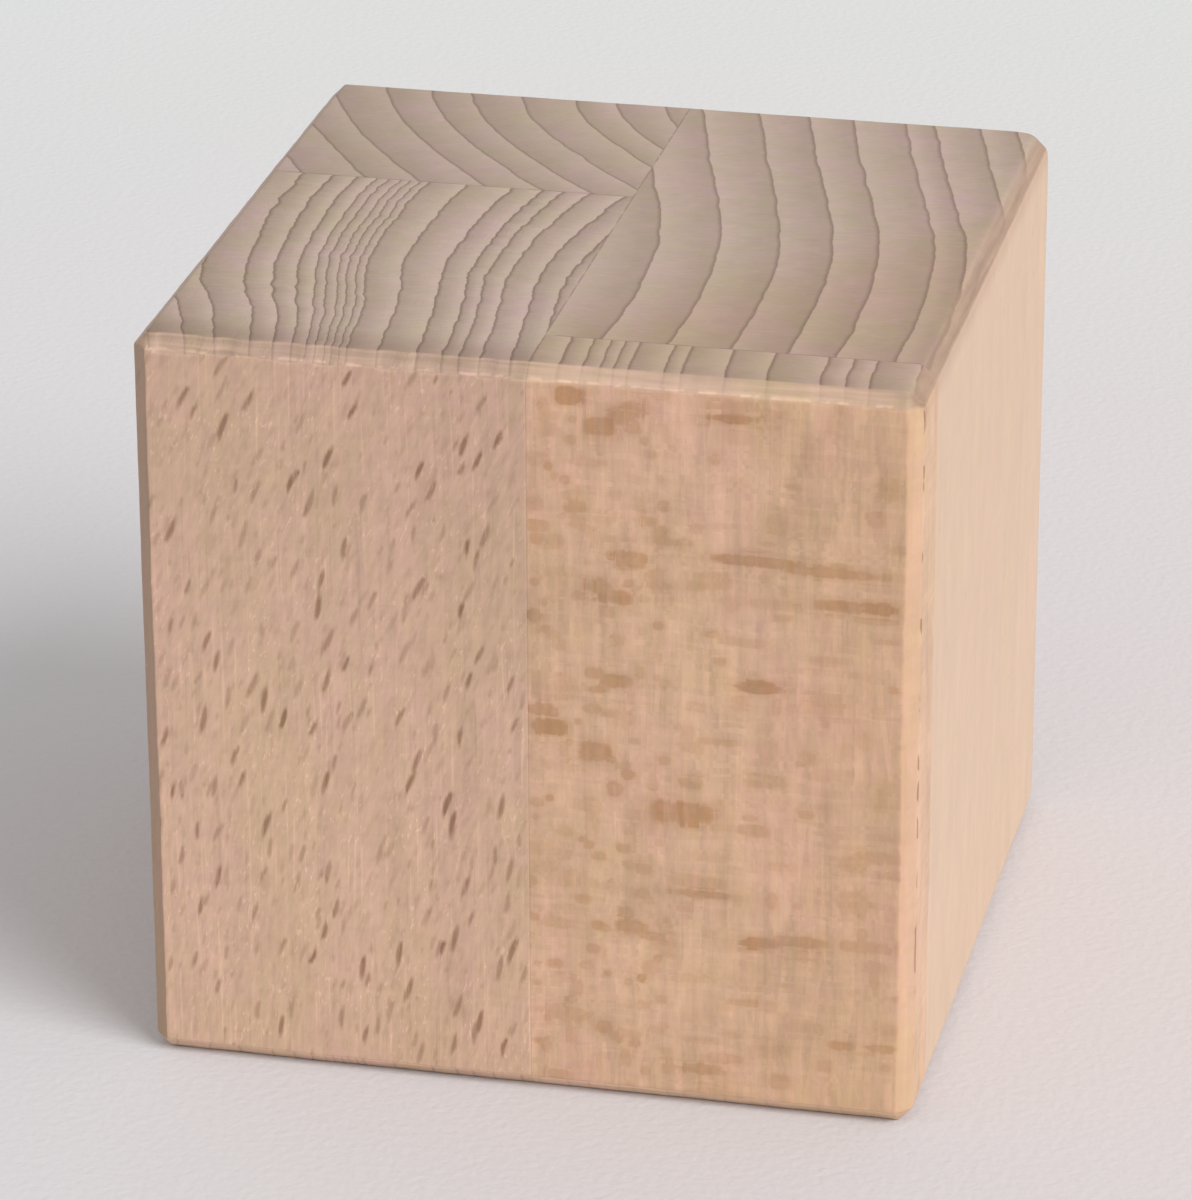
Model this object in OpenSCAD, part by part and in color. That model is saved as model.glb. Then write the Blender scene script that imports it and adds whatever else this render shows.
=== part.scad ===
// Glued beech cube.
//
// Four upright staves in two layers: a left layer of two staves and a right
// layer of two, glued on one long upright joint. The block is planed square,
// every edge is chamfered and every corner tip is rubbed off. The grain runs
// upright, so the top and the base are end grain.
//
// Frame: millimetres, +Z up, origin at the middle of the base, front at -Y.

/* [Cube] */
// Side of the finished cube
side = 80; // [60:1:120]
// Leg of the 45 degree chamfer along every edge
chamfer = 1.5; // [0.5:0.1:4]
// Depth rubbed off each corner tip, along the body diagonal
tip_ease = 0.35; // [0.1:0.05:0.4]

/* [Glue-up] */
// Thickness of the left layer, from the left face to the long joint
left_layer_t = 40.4; // [10:0.1:70]
// Depth of the front stave in the left layer, from the front face to its joint
front_left_d = 49.6; // [10:0.1:70]
// Depth of the front stave in the right layer, from the front face to its joint
front_right_d = 8.8; // [5:0.1:70]

/* [Hidden] */

// End-grain tones of the four staves
front_left_tone = [0.78, 0.64, 0.53];
back_left_tone = [0.76, 0.65, 0.53];
front_right_tone = [0.83, 0.67, 0.53];
back_right_tone = [0.87, 0.74, 0.62];

half = side / 2;
// Upright glue lines, measured from the cube's centre lines
long_joint_x = left_layer_t - half;
left_joint_y = front_left_d - half;
right_joint_y = front_right_d - half;
// Where three chamfer planes would meet, as a distance from the cube's centre
sharp_tip_r = sqrt(3) * (half - chamfer / 2);
tip_fn = 240;

// Square of the cube's side with its four corners cut at 45 degrees.
module chamfered_square() {
    flat = half - chamfer;
    polygon([
        [-flat, -half], [flat, -half], [half, -flat], [half, flat],
        [flat, half], [-flat, half], [-half, flat], [-half, -flat]
    ]);
}

// Bar of that section along Z, as long as the cube's side.
module chamfered_bar() {
    linear_extrude(height = side, center = true) chamfered_square();
}

// The finished outside: three crossed bars leave the twelve edge chamfers,
// and a ball that reaches just short of the sharp tips rounds all eight.
module planed_cube() {
    translate([0, 0, half]) intersection() {
        chamfered_bar();
        rotate([90, 0, 0]) chamfered_bar();
        rotate([0, 90, 0]) chamfered_bar();
        sphere(r = sharp_tip_r - tip_ease, $fn = tip_fn);
    }
}

// One stave: what the planed cube leaves of the upright board between the
// section's low corner and its high corner.
module stave(low, high) {
    intersection() {
        planed_cube();
        translate([low[0], low[1], 0]) cube([high[0] - low[0], high[1] - low[1], side]);
    }
}

module stave_front_left() {
    color(front_left_tone) stave([-half, -half], [long_joint_x, left_joint_y]);
}

module stave_back_left() {
    color(back_left_tone) stave([-half, left_joint_y], [long_joint_x, half]);
}

module stave_front_right() {
    color(front_right_tone) stave([long_joint_x, -half], [half, right_joint_y]);
}

module stave_back_right() {
    color(back_right_tone) stave([long_joint_x, right_joint_y], [half, half]);
}

stave_front_left();
stave_back_left();
stave_front_right();
stave_back_right();
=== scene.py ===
"""Looks of the glued beech cube: the wood of its four staves and the studio they stand in."""

import math

import bpy
import numpy as np
from bpy.props import FloatProperty, FloatVectorProperty, PointerProperty
from bpy.types import Operator, Panel, PropertyGroup
from mathutils import Matrix, Vector


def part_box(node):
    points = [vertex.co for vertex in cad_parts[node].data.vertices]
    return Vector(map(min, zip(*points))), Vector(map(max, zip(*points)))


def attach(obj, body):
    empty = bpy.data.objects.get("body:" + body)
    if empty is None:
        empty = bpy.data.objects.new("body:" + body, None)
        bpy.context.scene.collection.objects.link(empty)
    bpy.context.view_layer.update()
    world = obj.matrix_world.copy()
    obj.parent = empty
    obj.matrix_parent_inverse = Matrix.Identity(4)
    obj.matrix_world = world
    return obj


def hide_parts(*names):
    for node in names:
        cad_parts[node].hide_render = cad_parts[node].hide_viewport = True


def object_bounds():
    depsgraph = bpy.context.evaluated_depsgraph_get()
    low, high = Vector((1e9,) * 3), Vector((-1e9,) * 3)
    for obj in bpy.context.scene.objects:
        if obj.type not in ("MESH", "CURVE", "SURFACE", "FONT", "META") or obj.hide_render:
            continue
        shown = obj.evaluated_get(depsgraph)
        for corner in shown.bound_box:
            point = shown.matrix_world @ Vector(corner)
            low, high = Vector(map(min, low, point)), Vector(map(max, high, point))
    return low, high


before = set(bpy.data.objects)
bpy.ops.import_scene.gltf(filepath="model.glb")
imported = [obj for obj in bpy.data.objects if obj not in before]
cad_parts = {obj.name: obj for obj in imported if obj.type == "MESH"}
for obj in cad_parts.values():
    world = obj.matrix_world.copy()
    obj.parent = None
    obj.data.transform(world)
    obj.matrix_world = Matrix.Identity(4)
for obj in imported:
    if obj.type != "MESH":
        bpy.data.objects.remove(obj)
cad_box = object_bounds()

bl_info = {
    "name": "Beech Cube",
    "version": (1, 0, 0),
    "blender": (4, 5, 0),
    "location": "View3D > Sidebar > Beech Cube",
    "description": "Models the staves of a glued beech cube, their wood and a small studio",
    "category": "Object",
}

MM = 0.001
SIDE = cad_box[1][2] - cad_box[0][2]
HALF = SIDE / 2
CENTRE = np.array([0.0, 0.0, HALF])
TOUCHING = 1e-6  # closer than this, a stave's side is a face of the cube
BISECTIONS = 40  # halvings of the way from a grid point's anchor out to the planed cube
SHARP_ANGLE = 50.0  # degrees from which an edge is shaded as a sharp one

# The mesh is closest at the arrises and at the joints, and even between them. The steps are
# in millimetres in from the edge.
FAN_WIDTH = 2.6 * MM  # how far in from an edge the grid fans over the chamfer
ARRIS_STEPS = (0.0, 0.5, 0.95, 1.25, 1.38, 1.46, 1.54, 1.62, 1.75, 2.0, 2.3)
JOINT_STEPS = (0.0, 0.07, 0.2)

# The chamfers are planed by hand, so they come out wider and narrower in waves. Each wave
# has its height as a share of the chamfer's leg, its length in millimetres over 2 pi, and
# how much it is turned from one edge of the cube to the next.
PLANE_WAVES = ((0.022, 7.3, 1), (0.016, 2.6, 2), (0.012, 0.97, 5), (0.008, 0.41, 3))
EDGE_TURNS = (2.1, 3.7, 1.3)  # what sets the waves of the twelve edges apart

# The wood of the top front chamfer is torn too, mostly left of the middle
TORN_DEPTH = 0.1  # how far it strays, as a share of its leg
TORN_WAVES = ((1.9, 1.0), (0.83, 0.0), (0.53, 2.0))  # lengths as above, and where they start
TORN_FADE = 5.0  # over how many millimetres it fades across the middle
TORN_LEAST = 0.25  # how much of it is left on the right


# ---------------------------------------------------------------- geometry


def stations(low, high, pitch):
    """Grid stations along one axis of a stave, from its low side to its high side."""
    ends = []
    for place in (low, high):
        outside = abs(abs(place) - HALF) < TOUCHING
        ends.append(ARRIS_STEPS if outside else JOINT_STEPS)
    start = [low + step * MM for step in ends[0]]
    finish = [high - step * MM for step in reversed(ends[1])]
    count = max(1, round((finish[0] - start[-1]) / pitch))
    middle = np.linspace(start[-1], finish[0], count + 1)[1:-1]
    return np.concatenate([start, middle, finish])


def outside_planes(points, looks):
    """Distances of points past each plane of the planed cube, and the planes' normals.

    points are measured from the cube's centre. The list holds the six flats as three,
    the twelve chamfers as three, and the ball that eases the corner tips.
    """
    away = np.abs(points)
    signs = np.where(points < 0, -1.0, 1.0)
    distances = []
    normals = []
    for axis in range(3):
        distances.append(away[:, axis] - HALF)
        normal = np.zeros_like(points)
        normal[:, axis] = signs[:, axis]
        normals.append(normal)
    for first, second, along in ((0, 1, 2), (0, 2, 1), (1, 2, 0)):
        wander = chamfer_wander(points, signs, first, second, along)
        leg = looks.chamfer * (1 + wander)
        distances.append((away[:, first] + away[:, second] - 2 * HALF + leg) / math.sqrt(2))
        normal = np.zeros_like(points)
        normal[:, first] = signs[:, first] / math.sqrt(2)
        normal[:, second] = signs[:, second] / math.sqrt(2)
        normals.append(normal)
    radius = np.linalg.norm(points, axis=1)
    sharp_tip = math.sqrt(3) * (HALF - looks.chamfer / 2)
    rubbed = looks.tip_ease * np.ones(len(points))
    handled = (points[:, 0] > 0) & (points[:, 1] > 0) & (points[:, 2] > 0)
    rubbed[handled] = looks.tip_ease_handled
    distances.append(radius - sharp_tip + rubbed)
    normals.append(points / radius[:, None])
    return np.array(distances), np.array(normals)


def chamfer_wander(points, signs, first, second, along):
    """How much wider or narrower than planned a chamfer is, as a share of its leg."""
    edge = EDGE_TURNS[0] * signs[:, first] + EDGE_TURNS[1] * signs[:, second] + EDGE_TURNS[2] * along
    place = points[:, along] / MM
    wander = sum(share * np.sin(place / length + turn * edge) for share, length, turn in PLANE_WAVES)
    torn = (along == 0) * (signs[:, 1] < 0) * (signs[:, 2] > 0)
    torn = torn * np.clip(0.5 - place / TORN_FADE, TORN_LEAST, 1.0)
    steps = sum(np.sin(place / length + start) for length, start in TORN_WAVES)
    return wander + TORN_DEPTH * torn * np.tanh(steps)


def arris_softness(points, looks):
    """How softly the planes meet at each point.

    They meet more softly at the tips, along the top right edge, and most of all at the
    corner that is most handled.
    """
    handled = np.linalg.norm(points - HALF, axis=1) / looks.handled_reach
    tip = np.linalg.norm(np.abs(points) - HALF, axis=1) / looks.tip_reach
    edge = np.linalg.norm(points[:, (0, 2)] - HALF, axis=1) / looks.handled_reach
    softness = looks.arris_ease * np.ones(len(points))
    for reach, ease in ((tip, looks.tip_softness), (edge, looks.edge_ease), (handled, looks.handled_ease)):
        softness = np.maximum(softness, ease * np.exp(-reach ** 2))
    return softness


def planed(points, looks):
    """Box points moved onto the planed, chamfered and eased cube, and the normals there."""
    inner = HALF - FAN_WIDTH
    centred = points - CENTRE
    anchors = np.clip(centred, -inner, inner)
    rays = centred - anchors
    inside = np.zeros(len(points))
    outside = np.ones(len(points))
    softness = arris_softness(centred, looks)
    for _ in range(BISECTIONS):
        middle = (inside + outside) / 2
        distances = outside_planes(anchors + rays * middle[:, None], looks)[0]
        nearest = distances.max(axis=0)
        blended = nearest + softness * np.log(np.exp((distances - nearest) / softness).sum(axis=0))
        past = blended > 0
        outside[past] = middle[past]
        inside[~past] = middle[~past]
    found = anchors + rays * outside[:, None]
    distances, normals = outside_planes(found, looks)
    weights = np.exp((distances - distances.max(axis=0)) / softness)
    weights /= weights.sum(axis=0)
    blended = (normals * weights[:, :, None]).sum(axis=0)
    blended /= np.linalg.norm(blended, axis=1)[:, None]
    return found + CENTRE, blended


def grid_side(axis, end):
    """The index of one side of a stave's grid of points."""
    at = [slice(None)] * 3
    at[axis] = end
    return tuple(at)


def stave_mesh(name, low, high, looks):
    """A closed mesh of one stave, its planed faces fine and its glued faces plain."""
    pitches = STAVES[name]["pitch"]
    axes = [stations(low[axis], high[axis], pitches[axis] * MM) for axis in (0, 1)]
    axes.append(stations(low[2] - HALF, high[2] - HALF, pitches[2] * MM) + HALF)
    last = [len(values) - 1 for values in axes]
    glued = []
    for axis in (0, 1):
        for end, place in ((0, low[axis]), (last[axis], high[axis])):
            if abs(abs(place) - HALF) > TOUCHING:
                glued.append((axis, end))
    number = np.full([count + 1 for count in last], -1)
    faces = []
    sheets = []
    for axis in range(3):
        for end in (0, last[axis]):
            if (axis, end) not in glued:
                sheets.append((axis, end))
    for axis, end in sheets:
        number[grid_side(axis, end)] = 0
    used = np.argwhere(number == 0)
    number[tuple(used.T)] = np.arange(len(used))
    for axis, end in sheets:
        sheet = number[grid_side(axis, end)]
        if (end == 0) != (axis == 1):
            sheet = sheet.T
        quads = np.stack([sheet[:-1, :-1], sheet[1:, :-1], sheet[1:, 1:], sheet[:-1, 1:]], axis=-1)
        faces.extend(quads.reshape(-1, 4).tolist())
    for axis, end in glued:
        faces.append(glued_face(number, axis, end))
    box = np.stack([axes[i][used[:, i]] for i in range(3)], axis=1)
    points, normals = planed(box, looks)
    gap = np.full(len(box), np.inf)
    for axis, end in glued:
        gap = np.minimum(gap, np.abs(box[:, axis] - axes[axis][end]))
    groove = looks.joint_groove * np.clip(1 - gap / (JOINT_STEPS[1] * MM), 0, 1)
    points -= normals * groove[:, None]
    mesh = bpy.data.meshes.new(name)
    mesh.from_pydata(points.tolist(), [], faces)
    mesh.polygons.foreach_set("use_smooth", [True] * len(mesh.polygons))
    mesh.set_sharp_from_angle(angle=math.radians(SHARP_ANGLE))
    mesh.update()
    return mesh


def glued_face(number, axis, end):
    """The one face that closes a stave at a joint, from the grid points round its edge."""
    sheet = number[grid_side(axis, end)]
    loop = list(sheet[0, :])
    loop += list(sheet[1:, -1])
    loop += list(sheet[-1, -2::-1])
    loop += list(sheet[-2:0:-1, 0])
    loop = [int(index) for index in loop if index >= 0]
    if (end == 0) == (axis == 1):
        loop.reverse()
    return loop


# ---------------------------------------------------------------- node wiring


class Field:
    """A value that varies over a surface: a socket that can be used like a number."""

    def __init__(self, wires, socket):
        self.wires = wires
        self.socket = socket

    def __add__(self, other):
        return self.wires.math("ADD", self, other)

    def __radd__(self, other):
        return self.wires.math("ADD", other, self)

    def __sub__(self, other):
        return self.wires.math("SUBTRACT", self, other)

    def __rsub__(self, other):
        return self.wires.math("SUBTRACT", other, self)

    def __mul__(self, other):
        return self.wires.math("MULTIPLY", self, other)

    def __truediv__(self, other):
        return self.wires.math("DIVIDE", self, other)

    def __rtruediv__(self, other):
        return self.wires.math("DIVIDE", other, self)

    def __abs__(self):
        return self.wires.math("ABSOLUTE", self)

    def least(self, other):
        return self.wires.math("MINIMUM", self, other)

    def most(self, other):
        return self.wires.math("MAXIMUM", self, other)

    def ramp(self, low, high, start=0.0, finish=1.0):
        """Turns smoothly from start, where this is low, to finish, where it is high."""
        made = self.wires.node("ShaderNodeMapRange", interpolation_type="SMOOTHSTEP")
        for socket, value in zip(made.inputs, (self, low, high, start, finish)):
            self.wires.put(socket, value)
        return Field(self.wires, made.outputs[0])


# A Mix node has sockets of its own for each kind of value: these are its factor and the
# sockets for colours
MIX_FACTOR = 0
MIX_FIRST = 6
MIX_SECOND = 7
MIX_RESULT = 2


class Wires:
    """Adds nodes to one node tree and joins them."""

    def __init__(self, tree):
        self.tree = tree

    def put(self, socket, value):
        if isinstance(value, Field):
            self.tree.links.new(value.socket, socket)
        else:
            socket.default_value = value

    def node(self, kind, **settings):
        made = self.tree.nodes.new(kind)
        for name, value in settings.items():
            setattr(made, name, value)
        return made

    def math(self, operation, *values):
        made = self.node("ShaderNodeMath", operation=operation)
        for socket, value in zip(made.inputs, values):
            self.put(socket, value)
        return Field(self, made.outputs[0])

    def join(self, x, y, z):
        made = self.node("ShaderNodeCombineXYZ")
        for socket, value in zip(made.inputs, (x, y, z)):
            self.put(socket, value)
        return Field(self, made.outputs[0])

    def split(self, vector):
        made = self.node("ShaderNodeSeparateXYZ")
        self.put(made.inputs[0], vector)
        return [Field(self, socket) for socket in made.outputs]

    def noise(self, vector, detail=0.0, roughness=0.5):
        """Noise from 0 to 1, with waves of about one unit of the vector."""
        made = self.node("ShaderNodeTexNoise")
        self.put(made.inputs["Vector"], vector)
        made.inputs["Scale"].default_value = 1.0
        made.inputs["Detail"].default_value = detail
        made.inputs["Roughness"].default_value = roughness
        return Field(self, made.outputs["Fac"])

    def curve(self, value, points, straight):
        """A curve through points, straight or smooth between them."""
        lows = [min(column) for column in zip(*points)]
        spans = [max(column) - min(column) for column in zip(*points)]
        made = self.node("ShaderNodeFloatCurve")
        line = made.mapping.curves[0]
        while len(line.points) < len(points):
            line.points.new(0.5, 0.5)
        for spot, point in zip(line.points, points):
            spot.location = [(at - low) / span for at, low, span in zip(point, lows, spans)]
            spot.handle_type = "VECTOR" if straight else "AUTO"
        made.mapping.update()
        self.put(made.inputs["Value"], (value - lows[0]) / spans[0])
        return Field(self, made.outputs[0]) * spans[1] + lows[1]

    def blend(self, factor, first, second, mode="MIX"):
        """Colours mixed by a factor."""
        made = self.node("ShaderNodeMix", data_type="RGBA", blend_type=mode)
        self.put(made.inputs[MIX_FACTOR], factor)
        self.put(made.inputs[MIX_FIRST], first)
        self.put(made.inputs[MIX_SECOND], second)
        return Field(self, made.outputs[MIX_RESULT])

    def tinted(self, colour, shade):
        """A colour made lighter or darker by a factor."""
        made = self.node("ShaderNodeVectorMath", operation="SCALE")
        self.put(made.inputs[0], colour)
        self.put(made.inputs["Scale"], shade)
        return Field(self, made.outputs[0])

    def placed(self, group, **values):
        """A shared node group placed here, and its outputs by name."""
        made = self.node("ShaderNodeGroup", node_tree=bpy.data.node_groups[group])
        for name, value in values.items():
            self.put(made.inputs[name.replace("_", " ")], value)
        return {socket.name: Field(self, socket) for socket in made.outputs}


def shared_group(name, inputs, outputs):
    """A new node group with named sockets: its wires, its inputs and what fills its outputs."""
    tree = bpy.data.node_groups.new(name, "ShaderNodeTree")
    for label in inputs:
        kind = "NodeSocketVector" if label in ("Position", "Normal") else "NodeSocketFloat"
        tree.interface.new_socket(label, in_out="INPUT", socket_type=kind)
    for label in outputs:
        tree.interface.new_socket(label, in_out="OUTPUT", socket_type="NodeSocketFloat")
    wires = Wires(tree)
    start = wires.node("NodeGroupInput")
    finish = wires.node("NodeGroupOutput")
    given = [Field(wires, start.outputs[label]) for label in inputs]

    def give(label, value):
        wires.put(finish.inputs[label], value)

    return wires, given, give


# ---------------------------------------------------------------- wood groups
# All lengths in the wood are in millimetres. Noise is read at a place that is first scaled
# to waves per millimetre along x, y and z, and 20.0 or the like there sets one noise apart
# from another. The first two numbers of a ramp are where it starts and where it is full.


def add_growth_rings():
    """Pale early wood, darker late wood and the thin dark line where a ring ends."""
    outputs = ("Early", "Late", "Line", "Tint")
    wires, given, give = shared_group("Growth Rings", ("Count", "Width"), outputs)
    count, width = given
    phase = wires.math("FRACT", count)
    to_line = (1.0 - phase) * width
    since_line = phase * width
    give("Early", since_line.ramp(1.6, 0.1) * width.ramp(0.6, 2.4))
    give("Late", phase.ramp(0.1, 1.0))
    inner = to_line.ramp(width.least(2.4) * 0.28, 0.0)
    outer = since_line.ramp(0.14, 0.0)
    give("Line", (inner * inner).most(outer))
    hash_of_ring = wires.node("ShaderNodeTexWhiteNoise", noise_dimensions="1D")
    wires.put(hash_of_ring.inputs["W"], wires.math("FLOOR", count))
    give("Tint", Field(wires, hash_of_ring.outputs["Value"]) - 0.5)


def add_ring_wander():
    """How far ring lines stray to and fro as they run."""
    inputs = ("Along", "Place", "Height", "Jaggedness")
    wires, given, give = shared_group("Ring Wander", inputs, ("Stray",))
    along, place, height, jaggedness = given
    slow = wires.noise(wires.join(along * 0.16, place * 0.08, height * 0.012), 1.0)
    quick = wires.noise(wires.join(along * 0.5, place * 0.12, height * 0.03), 3.0, 0.55)
    give("Stray", (slow - 0.5) * 0.7 + (quick - 0.5) * jaggedness)


def add_rays():
    """Wood rays as long flat spindles scattered in the stave, each of its own size and depth."""
    inputs = ("Position", "Half Width", "Half Length", "Half Height", "Spacing")
    wires, given, give = shared_group("Rays", inputs, ("Ray",))
    position, wide, long, tall, spacing = given
    across, outward, up = wires.split(position)
    cells = wires.node("ShaderNodeTexVoronoi", distance="MANHATTAN")
    wires.put(cells.inputs["Vector"], wires.join(across / wide, outward / long, up / tall))
    wires.put(cells.inputs["Scale"], 1.0 / spacing)
    size, depth = wires.split(Field(wires, cells.outputs["Color"]))[:2]
    reach = (size * size + 0.45) / spacing
    distance = Field(wires, cells.outputs["Distance"])
    give("Ray", distance.ramp(reach, reach * 0.2) * depth.ramp(-0.4, 0.9))


def add_fibre():
    """The fine upright grain: soft streaks, and thin hairs that are pale or, below zero, dark."""
    wires, given, give = shared_group("Fibre", ("Position",), ("Streak", "Hair"))
    x, y, z = wires.split(given[0])
    sway = wires.noise(wires.join(x * 0.1, y * 0.1, z * 0.04)) * 1.2
    x = x + sway
    soft = wires.noise(wires.join(x * 0.5, y * 0.5, z * 0.025), 3.0, 0.65)
    give("Streak", soft * 2.0 - 1.0)
    hairs = wires.noise(wires.join(x * 2.3, y * 2.3, z * 0.06), 1.0)
    give("Hair", hairs.ramp(0.6, 0.74) - hairs.ramp(0.4, 0.26) * 0.7)


def add_dapple():
    """The fine dark and light dapple of fibres that the plane tore or burnished."""
    wires, given, give = shared_group("Dapple", ("Position",), ("Dapple", "Speck"))
    x, y, z = wires.split(given[0])
    cloudy = wires.noise(wires.join(x * 1.25, y * 0.6, z * 0.4), 2.0, 0.65)
    give("Dapple", cloudy * 2.0 - 1.0)
    specks = wires.noise(wires.join(x * 2.6 + 20.0, y * 1.2, z), 1.0)
    crowded = wires.noise(wires.join(x * 0.35, y * 0.3, z * 0.15 + 20.0))
    give("Speck", specks.ramp(0.58, 0.7) * crowded.ramp(0.35, 0.65))


def add_end_grain():
    """The fine radial texture where a surface cuts across the fibres."""
    wires, given, give = shared_group("End Grain", ("Around", "Radius"), ("Dash", "Fleck"))
    around, radius = given
    dashes = wires.noise(wires.join(around * 2.2, radius * 0.35, 0.0), 2.0, 0.55)
    give("Dash", dashes * 2.0 - 1.0)
    fine = wires.noise(wires.join(around * 3.4, radius * 0.9, 5.0))
    give("Fleck", fine.ramp(0.66, 0.8))


def add_cells():
    """Narrow upright cells and flat cross cells, each with a shift and a tone of its own."""
    outputs = ("Column", "Column Tone", "Row", "Row Tone")
    wires, given, give = shared_group("Cells", ("Position",), outputs)
    x, y, z = wires.split(given[0])
    sway = wires.noise(wires.join(x * 0.3, y * 0.3, z * 0.05)) * 0.8
    for name, place in (
        ("Column", wires.join((x + sway) * 1.15, y * 0.3, z * 0.13)),
        ("Row", wires.join(x * 0.12, y * 0.12, (z + sway) * 1.7)),
    ):
        cells = wires.node("ShaderNodeTexVoronoi", distance="CHEBYCHEV")
        wires.put(cells.inputs["Vector"], place)
        cells.inputs["Scale"].default_value = 1.0
        shift, tone = wires.split(Field(wires, cells.outputs["Color"]))[:2]
        give(name, shift - 0.5)
        give(name + " Tone", tone - 0.5)


def add_clouds():
    """Soft patches of warmer and cooler wood, broad and small."""
    wires, given, give = shared_group("Clouds", ("Position",), ("Warm", "Pale", "Olive"))
    x, y, z = wires.split(given[0])
    warm = wires.noise(wires.join(x * 0.11, y * 0.11, z * 0.05), 1.0)
    give("Warm", warm.ramp(0.3, 0.7))
    pale = wires.noise(wires.join(x * 0.3 + 9.0, y * 0.3, z * 0.1), 2.0, 0.6)
    give("Pale", pale * 2.0 - 1.0)
    olive = wires.noise(wires.join(x * 0.6, y * 0.6 + 20.0, z * 0.28), 1.0)
    give("Olive", olive.ramp(0.32, 0.68))


def add_glue_line():
    """The thin line of glue where a stave ends at its neighbours."""
    inputs = ("Position", "Seam X", "Seam Y")
    wires, given, give = shared_group("Glue Line", inputs, ("Glue",))
    position, seam_x, seam_y = given
    x, y, z = wires.split(position)
    gap = abs(x - seam_x).least(abs(y - seam_y))
    broken = wires.noise(wires.join(x * 0.5, y * 0.5, z * 0.5), 1.0)
    give("Glue", gap.ramp(0.16, 0.03) * broken.ramp(0.25, 0.6))


def add_planed_edges():
    """What kind of planed surface a place is on, from the way it faces.

    End is cut square across the fibres, Slant is a level chamfer and Under one that looks
    down, Side is whether it looks along x rather than y, Corner is an upright chamfer, and
    Tip is where three chamfers meet.
    Rim is the lower rim of a top chamfer, where wear and a painted highlight show, from Drop,
    the depth below the top in chamfer legs, and Chatter is the fine level lines that the plane
    left on a chamfer.
    """
    outputs = ("End", "Slant", "Under", "Side", "Corner", "Tip", "Rim", "Chatter")
    wires, given, give = shared_group("Planed Edges", ("Position", "Normal", "Drop"), outputs)
    position, normal, drop = given
    x, y, z = wires.split(position)
    facing_x, facing_y, facing_z = wires.split(normal)
    steep = abs(facing_z)
    slant = steep.ramp(0.25, 0.6) * steep.ramp(0.95, 0.75)
    both_ways = abs(facing_x).least(abs(facing_y))
    give("End", steep.ramp(0.6, 0.95))
    give("Slant", slant)
    give("Under", facing_z.ramp(-0.3, -0.6) * slant)
    give("Side", (abs(facing_x) - abs(facing_y)).ramp(-0.3, 0.3))
    give("Corner", both_ways.ramp(0.25, 0.6) * (1.0 - slant))
    give("Tip", both_ways.ramp(0.25, 0.5) * slant)
    patchy = wires.noise(wires.join(x * 0.6, y * 0.45, z), 2.0, 0.65).ramp(0.45, 0.56)
    rim = drop.ramp(0.7, 0.88) * drop.ramp(1.0, 0.9) * both_ways.ramp(0.3, 0.1)
    give("Rim", rim * patchy)
    chatter = wires.noise(wires.join(x * 0.09, y * 0.09, z * 2.4), 1.0)
    give("Chatter", (chatter - 0.5) * slant)


# ---------------------------------------------------------------- marks on the front

PERCENT = SIDE / MM / 100  # one percent of the side, in millimetres
SKIN_DEPTH = 0.1 * MM  # how far in from the front the painted marks reach

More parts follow.
